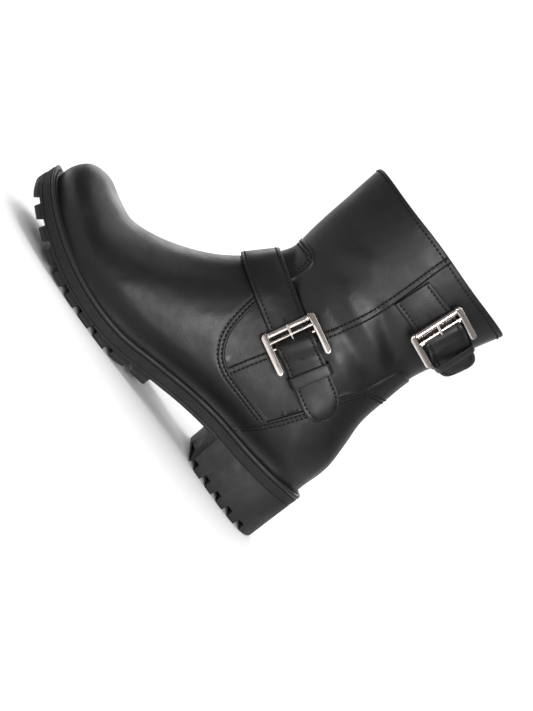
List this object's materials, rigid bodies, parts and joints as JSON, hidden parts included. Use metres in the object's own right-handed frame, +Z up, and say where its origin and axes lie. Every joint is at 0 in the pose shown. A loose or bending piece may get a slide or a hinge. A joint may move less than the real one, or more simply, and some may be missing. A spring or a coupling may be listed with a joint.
{
  "type": "biker boot",
  "caption": "Left ankle-high biker boot in smooth leather, with buckled instep and ankle straps, a zip on the inner side and a lugged rubber sole with a block heel.",
  "frame": {"origin": "centre of the bounding box at the ground, under the sole", "axes": "+X from heel to toe, +Y to the outer side of the left foot, +Z up"},
  "size_m": [0.2798, 0.098, 0.2176],
  "materials": {
    "upper_leather": "smooth black, soft sheen",
    "insole_lining": "dark textile lining",
    "welt_rubber": "matte black, stitched",
    "midsole_rubber": "matte black, ribbed",
    "outsole_rubber": "matte black",
    "heel_rubber": "matte black, fine texture",
    "zip_fabric": "woven black tape",
    "zip_teeth_plastic": "matte black",
    "slider_metal": "polished nickel",
    "pull_plastic": "matte black",
    "strap_leather": "smooth black, stitched edges",
    "buckle_metal": "polished nickel"
  },
  "bodies": {
    "boot": {"upper": "upper_leather", "insole": "insole_lining", "welt": "welt_rubber", "midsole": "midsole_rubber", "outsole": "outsole_rubber", "heel": "heel_rubber", "zip_tape": "zip_fabric", "zip_teeth": "zip_teeth_plastic", "zip_slider": "slider_metal", "instep_strap": "strap_leather", "instep_billet": "strap_leather", "instep_keeper": "strap_leather", "instep_frame": "buckle_metal", "instep_roller": "buckle_metal", "instep_prong": "buckle_metal", "ankle_strap": "strap_leather", "ankle_billet": "strap_leather", "ankle_keeper": "strap_leather", "ankle_frame": "buckle_metal", "ankle_roller": "buckle_metal", "ankle_prong": "buckle_metal"},
    "zip_pull": {"zip_pull": "pull_plastic"}
  },
  "joints": [
    {"name": "zip_pull_hinge", "type": "hinge", "parent": "boot", "child": "zip_pull", "pos_m": [-0.07842, -0.04633, 0.20342], "axis": [-0.9698, 0.2426, 0.0242], "range_deg": [0, 160]}
  ]
}
